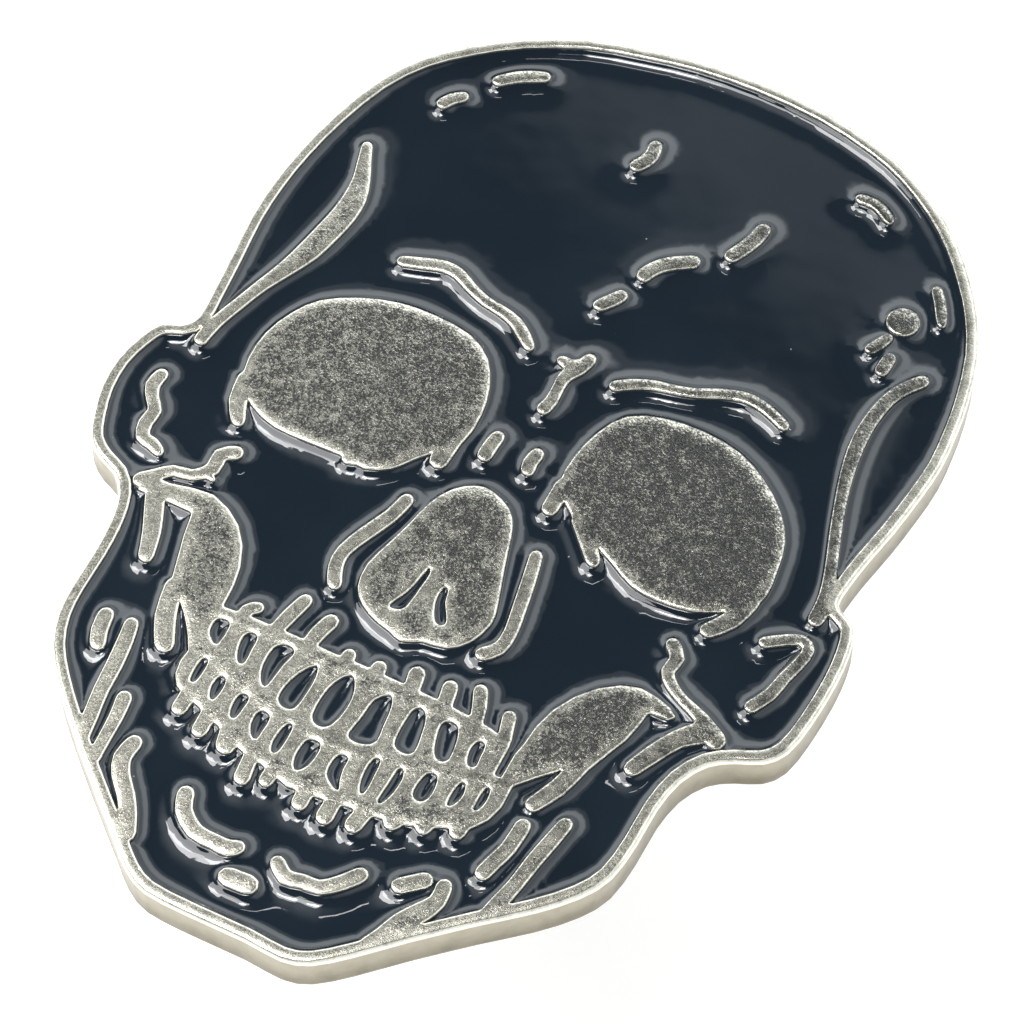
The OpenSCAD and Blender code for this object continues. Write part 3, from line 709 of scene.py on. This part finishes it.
def clutchNickel():
    finish = clutchFinish
    material, place, shader = newMaterial("clutchNickel", {"Metallic": 1.0})
    rubbed = noise(place, finish["scratch"], 2.0, 0.5, (1, 0.08, 0.3))
    across = noise(place, finish["scratch"], 2.0, 0.5, (0.08, 1, 0.3))
    cloud = noise(place, finish["stain"], 3.0, 0.6)
    marks = (rubbed * across).rise(0.28, 0.42)
    stained = cloud.rise(0.45, 0.8) * 0.6 + marks * 0.25
    feed(stained.blend(finish["pale"], finish["dark"]), shader, "Base Color")
    feed(0.16 + marks * 0.16 + cloud.rise(0.4, 0.8) * 0.14, shader, "Roughness")
    bump(marks * 0.002 + cloud * 0.01, shader)
    return material


floorFinish = {
    "pale": shade(0.89, 0.86, 0.84), "dark": shade(0.87, 0.84, 0.82),
    "cloud": 40.0, "lift": 0.3,  # mm, size of the clouding, and the light that lifts the shadows
}


def paleFloor():
    finish = floorFinish
    material, place, shader = newMaterial("paleFloor", {
        "Emission Color": shade(1.0, 1.0, 1.0), "Emission Strength": finish["lift"]})
    cloud = noise(place, finish["cloud"], 3.0)
    feed(cloud.rise(0.3, 0.7).blend(finish["dark"], finish["pale"]), shader, "Base Color")
    feed(0.6 + cloud * 0.1, shader, "Roughness")
    return material


plate.data.materials.append(struckNickel())
enamelMaterial = bakedEnamel()
for piece in enamelPieces:
    piece.data.materials.append(enamelMaterial)
steelMaterial, solderMaterial, clutchMaterial = turnedSteel(), dullSolder(), clutchNickel()
print("materials painted")


# an empty node tree with its named inputs, each given as a wire
def newTree(name, sockets):
    tree = bpy.data.node_groups.new(name, "GeometryNodeTree")
    for label, kind in sockets:
        tree.interface.new_socket(name=label, in_out="INPUT", socket_type="NodeSocket" + kind)
    tree.interface.new_socket(name="Geometry", in_out="OUTPUT", socket_type="NodeSocketGeometry")
    given = tree.nodes.new("NodeGroupInput")
    return tree, Wire(tree), {label: Wire(tree, given.outputs[label]) for label, kind in sockets}


# ends a tree: instances made real, and the material set
def endTree(shape, given):
    plain = shape.node("GeometryNodeRealizeInstances", {}, {"Geometry": shape})
    coated = shape.node("GeometryNodeSetMaterial", {}, {"Geometry": plain, "Material": given["Material"]})
    shape.node("NodeGroupOutput", {}, {"Geometry": coated})


# runs a tree on an object and returns a plain mesh object under a new name
def runTree(name, carrier, tree, values, smoothAngle):
    modifier = carrier.modifiers.new("tree", "NODES")
    modifier.node_group = tree
    for item in tree.interface.items_tree:
        if item.in_out == "INPUT" and item.name in values:
            modifier[item.identifier] = values[item.name]
    carrier.update_tag()
    ready = carrier.evaluated_get(bpy.context.evaluated_depsgraph_get())
    data = bpy.data.meshes.new_from_object(ready)
    data.name = name
    carrier.modifiers.remove(modifier)
    bpy.data.objects.remove(carrier)
    return finished(name, data, smoothAngle)


# normals put outwards, shading smooth up to an angle
def finished(name, data, smoothAngle):
    shell = bmesh.new()
    shell.from_mesh(data)
    bmesh.ops.recalc_face_normals(shell, faces=shell.faces)
    for face in shell.faces:
        face.smooth = True
    shell.to_mesh(data)
    shell.free()
    data.set_sharp_from_angle(angle=math.radians(smoothAngle))
    piece = bpy.data.objects.new(name, data)
    bpy.context.scene.collection.objects.link(piece)
    return piece


# a profile turned round an upright axis
def turnedTree():
    tree, start, given = newTree("turnedPart", [
        ("Profile", "Geometry"), ("Segments", "Int"), ("Centre", "Vector"),
        ("Wobble", "Float"), ("Still Radius", "Float"), ("Seed", "Float"), ("Material", "Material")])
    points = start.node("GeometryNodeAttributeDomainSize", {"component": "MESH"},
                        {"Geometry": given["Profile"]}, "Point Count")
    grid = start.node("GeometryNodeMeshGrid", {},
                      {"Vertices X": given["Segments"] + 1, "Vertices Y": points}, "Mesh")
    index = start.node("GeometryNodeInputIndex", {}, {})
    step = start.math("FLOOR", (index + 0.5) / points)
    position = start.node("GeometryNodeInputPosition", {}, {})
    at = start.node("GeometryNodeSampleIndex", {"data_type": "FLOAT_VECTOR", "domain": "POINT"},
                    {"Geometry": given["Profile"], "Value": position, "Index": index - step * points}, "Value")
    parts = {axis: start.node("ShaderNodeSeparateXYZ", {}, {0: at}, axis) for axis in "XZ"}
    angle = (step - start.math("FLOOR", step / given["Segments"] + 0.0001) * given["Segments"]) \
        * (2 * math.pi) / given["Segments"]
    cosine, sine = start.math("COSINE", angle), start.math("SINE", angle)
    circle = start.node("ShaderNodeCombineXYZ", {}, {"X": cosine, "Y": sine})
    ragged = start.node("ShaderNodeTexNoise", {"noise_dimensions": "4D"},
                        {"Vector": circle, "W": given["Seed"], "Scale": 1.6, "Detail": 2.0}, 0)
    loose = start.math("MAXIMUM", parts["X"] - given["Still Radius"], 0.0)
    radius = parts["X"] + loose * given["Wobble"] * (ragged - 0.5)
    place = start.node("ShaderNodeCombineXYZ", {},
                       {"X": radius * cosine, "Y": radius * sine, "Z": parts["Z"]})
    moved = start.node("ShaderNodeVectorMath", {"operation": "ADD"}, {0: place, 1: given["Centre"]}, "Vector")
    turned = start.node("GeometryNodeSetPosition", {}, {"Geometry": grid, "Position": moved})
    joined = start.node("GeometryNodeMergeByDistance", {}, {"Geometry": turned, "Distance": 1e-6})
    endTree(joined, given)
    return tree


# corners of a profile eased into short curves, r and depth in millimetres
def easedProfile(profile, radius, closed):
    points, made = [Vector(p) for p in profile], []
    for n, point in enumerate(points):
        if not closed and n in (0, len(points) - 1):
            made.append(point)
            continue
        before, after = points[n - 1] - point, points[(n + 1) % len(points)] - point
        bend = math.pi - before.angle(after)
        reach = min(radius * math.tan(bend / 2), 0.45 * before.length, 0.45 * after.length)
        first, last = point + before.normalized() * reach, point + after.normalized() * reach
        steps = 4 if bend > 0.6 else 2
        for k in range(steps + 1):
            t = k / steps
            made.append(first * (1 - t) ** 2 + point * (2 * t * (1 - t)) + last * t * t)
    return made + made[:1] if closed else made


turning = turnedTree()


# what every post, solder ring and cup shares: a profile turned about the middle of its node's box
def turnPiece(node, name, profile, shape, material, body):
    low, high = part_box(node)
    line = easedProfile(profile, shape["round"], shape["closed"])
    data = bpy.data.meshes.new("profile")
    data.from_pydata([(p.x * mm, 0, (backZ - p.y) * mm) for p in line],
                     [(n, n + 1) for n in range(len(line) - 1)], [])
    carrier = bpy.data.objects.new("profile", data)
    bpy.context.scene.collection.objects.link(carrier)
    centre = ((low.x + high.x) / 2, (low.y + high.y) / 2, 0)
    piece = runTree(name, carrier, turning, {
        "Segments": shape["segments"], "Centre": centre, "Wobble": shape.get("wobble", 0.0),
        "Still Radius": shape.get("still", 0.0) * mm, "Seed": centre[1] / mm, "Material": material}, 35)
    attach(piece, body)
    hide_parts(node)


postShape = {
    "radius": 0.575, "foot": 1.3, "length": 6.2,  # mm
    "groove": 0.18, "tip": 0.06,  # mm, groove depth and the blunt tip's radius
    "round": 0.06, "segments": 64, "closed": False,
}


def postProfile():
    r, foot, long = postShape["radius"], postShape["foot"], postShape["length"]
    waist, tip = r - postShape["groove"], postShape["tip"]
    line = [(0, 0), (foot, 0), (foot, 0.15), (foot - 0.1, 0.25), (r + 0.08, 0.25), (r, 0.32)]
    for top in (1.8, long - 1.6):
        line += [(r, top), (waist, top + 0.12), (waist, top + 0.48), (r, top + 0.6)]
    return line + [(r - 0.05, long - 0.8), (tip * 2, long - 0.06), (tip, long), (0, long)]


solderShape = {
    "foot": 1.3, "spread": 0.42,  # mm, the foot's radius and how far the solder spreads past it
    "wobble": 1.1, "still": 1.36,  # how ragged its edge is, and the radius in mm outside which it is
    "round": 0.05, "segments": 72, "closed": True,
}


def solderProfile():
    foot = solderShape["foot"]
    edge = foot + solderShape["spread"]
    return [(foot, 0.004), (edge, 0), (foot + 0.24, 0.055), (foot + 0.1, 0.12), (foot, 0.15)]


cupShape = {
    "hole": 0.62, "sheet": 0.35,  # mm, hole radius and sheet thickness
    "round": 0.14, "segments": 96, "closed": True,
}


def cupProfile(radius):
    hole, s = cupShape["hole"], cupShape["sheet"]
    return [
        (hole, 0.5), (hole + 0.12, 0.4), (hole + 0.3, 0.45), (hole + 0.45, 0.9), (hole + 0.7, 1.6 - s),
        (2.15, 1.6 - s), (2.3, 1.5 - s), (2.55, 0.3), (2.8, 0.12), (radius - 0.7, 0.02),
        (radius - 0.2, 0.02), (radius, 0.2), (radius, 0.95), (radius - 0.15, 1.1), (radius - s, 1.05),
        (radius - s, 0.5), (radius - 0.55, 0.02 + s), (3, 0.12 + s), (2.88, 0.3 + s), (2.66, 1.45),
        (2.45, 1.6), (hole + 0.4, 1.6), (hole + 0.1, 1.45), (hole, 1.2),
    ]


for where in ("top", "bottom"):
    low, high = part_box("cup_" + where)
    turnPiece("post_" + where, "turnedPost_" + where, postProfile(), postShape,
              steelMaterial, "pin")
    turnPiece("solder_" + where, "solderRing_" + where, solderProfile(), solderShape,
              solderMaterial, "pin")
    turnPiece("cup_" + where, "drawnCup_" + where, cupProfile((high.x - low.x) / 2 / mm), cupShape,
              clutchMaterial, "cup_" + where)
print("posts, solder and cups turned")


# bent sheet parts keep the frame's own shape, with their cut edges rolled over
sheetShape = {
    "edge": 0.055, "steps": 3,  # mm, width of the rolled edge, and its segments
    "flat": 0.6, "bent": 40,  # degrees counted as flat, and degrees that make an edge
}


def rolledSheet(node, name, body):
    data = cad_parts[node].data.copy()
    data.materials.clear()
    shell = bmesh.new()
    shell.from_mesh(data)
    bmesh.ops.remove_doubles(shell, verts=shell.verts, dist=1e-6)
    bmesh.ops.dissolve_limit(shell, angle_limit=math.radians(sheetShape["flat"]),
                             verts=shell.verts, edges=shell.edges)
    shell.to_mesh(data)
    shell.free()
    carrier = bpy.data.objects.new("sheet", data)
    bpy.context.scene.collection.objects.link(carrier)
    bevel = carrier.modifiers.new("rolled", "BEVEL")
    bevel.width, bevel.segments = sheetShape["edge"] * mm, sheetShape["steps"]
    bevel.limit_method, bevel.angle_limit = "ANGLE", math.radians(sheetShape["bent"])
    bevel.use_clamp_overlap = True
    ready = carrier.evaluated_get(bpy.context.evaluated_depsgraph_get())
    plain = bpy.data.meshes.new_from_object(ready)
    plain.name = name
    plain.materials.clear()
    plain.materials.append(clutchMaterial)
    carrier.modifiers.remove(bevel)
    bpy.data.objects.remove(carrier)
    piece = finished(name, plain, sheetShape["bent"])
    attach(piece, body)
    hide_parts(node)


for where in ("top", "bottom"):
    rolledSheet("saddle_" + where, "springSaddle_" + where, "saddle_" + where)
    for side in ("left", "right"):
        body = f"wing_{side}_{where}"
        rolledSheet(body, f"springWing_{side}_{where}", body)
print("saddles and wings rolled")


# rows of stamped pips over the plain back
pipShape = {
    "pitch": 0.95, "radius": 0.2, "top": 0.11, "height": 0.08,  # mm
    "margin": 0.9, "clear": 2.05,  # mm from the head's edge and from a post's axis
    "outline": (0.4, 0.3),  # mm, spacing and easing of the outline that they stay inside
}


def pipTree():
    tree, start, given = newTree("stampedPips", [
        ("Area", "Geometry"), ("Low", "Vector"), ("Pitch", "Float"), ("Columns", "Int"), ("Rows", "Int"),
        ("Radius", "Float"), ("Top Radius", "Float"), ("Height", "Float"), ("Post A", "Vector"),
        ("Post B", "Vector"), ("Clear", "Float"), ("Material", "Material")])
    grid = start.node("GeometryNodeMeshGrid", {},
                      {"Vertices X": given["Columns"], "Vertices Y": given["Rows"]}, "Mesh")
    index = start.node("GeometryNodeInputIndex", {}, {})
    column = start.math("FLOOR", (index + 0.5) / given["Rows"])
    row = index - column * given["Rows"]
    odd = start.math("MODULO", row, 2.0)
    x, y = (column + odd * 0.5) * given["Pitch"], row * given["Pitch"] * rowHeight
    offset = start.node("ShaderNodeCombineXYZ", {}, {"X": x, "Y": y})
    spot = start.node("ShaderNodeVectorMath", {"operation": "ADD"}, {0: offset, 1: given["Low"]}, "Vector")
    laid = start.node("GeometryNodeSetPosition", {}, {"Geometry": grid, "Position": spot})
    here = start.node("GeometryNodeInputPosition", {}, {})
    below = start.node("ShaderNodeVectorMath", {"operation": "ADD"}, {0: here, 1: (0, 0, -mm)}, "Vector")
    hit = start.node("GeometryNodeRaycast", {}, {
        "Target Geometry": given["Area"], "Source Position": below, "Ray Direction": (0, 0, 1),
        "Ray Length": 2 * mm}, "Is Hit")
    off = 1 - hit
    for post in ("Post A", "Post B"):
        gap = start.node("ShaderNodeVectorMath", {"operation": "DISTANCE"}, {0: here, 1: given[post]}, "Value")
        off = start.math("MAXIMUM", off, start.math("LESS_THAN", gap, given["Clear"]))
    kept = start.node("GeometryNodeDeleteGeometry", {"domain": "POINT"}, {"Geometry": laid, "Selection": off})
    pip = start.node("GeometryNodeMeshCone", {"fill_type": "TRIANGLE_FAN"}, {
        "Vertices": 8, "Radius Top": given["Top Radius"], "Radius Bottom": given["Radius"],
        "Depth": given["Height"]}, "Mesh")
    flipped = start.node("FunctionNodeEulerToRotation", {}, {0: (math.pi, 0, 0)})
    pips = start.node("GeometryNodeInstanceOnPoints", {},
                      {"Points": kept, "Instance": pip, "Rotation": flipped})
    endTree(pips, given)
    return tree


def stampPips():
    shape = pipShape
    edge = easedLoop(rimOutside, *shape["outline"])
    inner = edge + sidewaysOf(edge) * shape["margin"]
    sides = [(n, (n + 1) % len(inner)) for n in range(len(inner))]
    flat = delaunay_2d_cdt([Vector(p) for p in inner], sides, [], 1, 1e-5)
    data = bpy.data.meshes.new("backArea")
    data.from_pydata([(v.x * mm, v.y * mm, backZ * mm) for v in flat[0]], [], flat[2])
    carrier = bpy.data.objects.new("backArea", data)
    bpy.context.scene.collection.objects.link(carrier)
    low, high = inner.min(0), inner.max(0)
    columns = int((high[0] - low[0]) / shape["pitch"]) + 1
    rows = int((high[1] - low[1]) / (shape["pitch"] * rowHeight)) + 1
    posts = [(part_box(node)[0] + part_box(node)[1]) / 2 for node in ("post_top", "post_bottom")]
    piece = runTree("backPips", carrier, pipTree(), {
        "Low": (low[0] * mm, low[1] * mm, backZ * mm), "Pitch": shape["pitch"] * mm, "Columns": columns,
        "Rows": rows, "Radius": shape["radius"] * mm, "Top Radius": shape["top"] * mm,
        "Height": shape["height"] * mm, "Post A": (posts[0].x, posts[0].y, backZ * mm),
        "Post B": (posts[1].x, posts[1].y, backZ * mm), "Clear": shape["clear"] * mm,
        "Material": plate.data.materials[0]}, 30)
    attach(piece, "pin")
    return piece


pips = stampPips()
print("back stamped:", len(pips.data.polygons), "faces")

pictureView = {
    "lens": 140.6, "sensor": 36.0,  # mm
    "away": 129.03,  # mm from the aim
    "down": 56.84,  # degrees the view looks down
    "turn": 27.95,  # degrees the camera stands round towards the face's right
    "aim": (1.2197, -1.2095),  # mm from the plate's middle, at the height of the line tops
}


def addCamera():
    view = pictureView
    turn, down = math.radians(view["turn"]), math.radians(view["down"])
    low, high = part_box("plate")
    aside, along = view["aim"]
    aim = Vector(((low.x + high.x) / 2 + aside * mm, (low.y + high.y) / 2 + along * mm, high.z))
    near = Vector((math.sin(turn), -math.cos(turn), 0))  # level, from the head towards the camera
    right = Vector((math.cos(turn), math.sin(turn), 0))
    back = near * math.cos(down) + Vector((0, 0, math.sin(down)))
    up = back.cross(right)
    data = bpy.data.cameras.new("studioCamera")
    data.lens, data.sensor_width = view["lens"], view["sensor"]
    data.clip_start, data.clip_end = 0.005, 20
    camera = bpy.data.objects.new("studioCamera", data)
    camera.matrix_world = Matrix.Translation(aim + back * view["away"] * mm) \
        @ Matrix((right, up, back)).transposed().to_4x4()
    bpy.context.scene.collection.objects.link(camera)
    bpy.context.scene.camera = camera
    return aim, near, right


aim, near, right = addCamera()
bpy.context.scene.view_settings.view_transform = "Standard"

# azimuths are from the far side, clockwise as seen from above; elevations from the floor, in degrees
lighting = {
    "dark": 0.07,  # the sky's brightness overhead
    "glow": 0.5, "glowEdge": (0.735, 0.705),  # a faint band, and where it starts and is full
    "horizon": 2.7, "nearHorizon": 0.75, "horizonEdge": (0.68, 0.58),  # the pale walls of the room
    "lowHorizon": 0.9, "lowEdge": (0.2, 0.45),  # the far wall is dimmer near the floor, below these heights
    "haze": (-66, 66), "hazeSize": (25, 10), "hazeLight": 1.3,  # soft light round the window
    "lean": 22,  # degrees that the sky's dark cap leans to the left
    "panels": {
        "windowLight": {"azimuth": -68, "elevation": 64, "away": 0.5, "size": (0.15, 0.14), "watts": 0.9},
        "ceilingLight": {"azimuth": -115, "elevation": 76, "away": 0.5, "size": (0.14, 0.17), "watts": 0.7},
        "lampLight": {"azimuth": -112, "elevation": 80, "away": 0.48, "size": (0.05, 0.06), "watts": 0.3},
        "stripLight": {"azimuth": -3, "elevation": 70.5, "away": 0.5, "size": (0.05, 0.012), "watts": 0.02},
        "sidePanel": {"azimuth": -98, "elevation": 50, "away": 0.13, "size": (0.09, 0.07), "watts": 0.13},
    },
}


# the direction to a place in the room, from its azimuth and elevation
def wayTo(azimuth, elevation):
    a, e = math.radians(azimuth), math.radians(elevation)
    return (right * math.sin(a) - near * math.cos(a)) * math.cos(e) + Vector((0, 0, math.sin(e)))


def addWorld():
    world = bpy.data.worlds.new("studioWorld")
    bpy.context.scene.world = world
    world.use_nodes = True
    tree = world.node_tree
    tree.nodes.clear()
    start = Wire(tree)
    way = start.node("ShaderNodeTexCoord", {}, {}, "Generated")
    lean = math.radians(lighting["lean"])
    cap = Vector((0, 0, math.cos(lean))) - right * math.sin(lean)

    def towards(pole):
        return start.node("ShaderNodeVectorMath", {"operation": "DOT_PRODUCT"}, {0: way, 1: pole}, "Value")

    height = towards(cap)
    # each edge gives the height above which there is nothing and the one below which it is full
    off, full = lighting["glowEdge"]
    glow = (1 - height.rise(full, off)) * lighting["glow"]
    off, full = lighting["horizonEdge"]
    farther = towards(-near).rise(-0.3, 0.5)
    lowWall = lighting["lowHorizon"]
    farWall = lowWall + height.rise(*lighting["lowEdge"]) * (lighting["horizon"] - lowWall)
    walls = lighting["nearHorizon"] + farther * (farWall - lighting["nearHorizon"])
    outer, inner = (math.cos(math.radians(a)) for a in lighting["hazeSize"])
    haze = towards(wayTo(*lighting["haze"])).rise(outer, inner) * lighting["hazeLight"]
    strength = lighting["dark"] + glow + haze + (1 - height.rise(full, off)) * walls
    light = start.node("ShaderNodeBackground", {}, {"Color": shade(0.93, 0.975, 1.0), "Strength": strength})
    start.node("ShaderNodeOutputWorld", {}, {"Surface": light})


def addPanel(name, panel):
    data = bpy.data.lights.new(name, "AREA")
    data.shape = "RECTANGLE"
    data.size, data.size_y = panel["size"]
    data.energy = panel["watts"]
    light = bpy.data.objects.new(name, data)
    way = wayTo(panel["azimuth"], panel["elevation"])
    light.location = aim + way * panel["away"]
    light.rotation_euler = way.to_track_quat("Z", "Y").to_euler()
    light.visible_camera = False
    bpy.context.scene.collection.objects.link(light)


addWorld()
for name, panel in lighting["panels"].items():
    addPanel(name, panel)

# the floor lies clear of a clutch pulled right off its post, so it hides nothing at any pose
floorShape = {"half": 3.0, "drop": 6.8}  # metres from the middle to each side, mm below the clutches

half, level = floorShape["half"], -floorShape["drop"] * mm
floorMesh = bpy.data.meshes.new("studioFloor")
floorMesh.from_pydata([(x * half, y * half, level) for x, y in ((-1, -1), (1, -1), (1, 1), (-1, 1))],
                      [], [(0, 1, 2, 3)])
floorMesh.materials.append(paleFloor())
floor = bpy.data.objects.new("studioFloor", floorMesh)
bpy.context.scene.collection.objects.link(floor)
print("camera, lights and floor set")
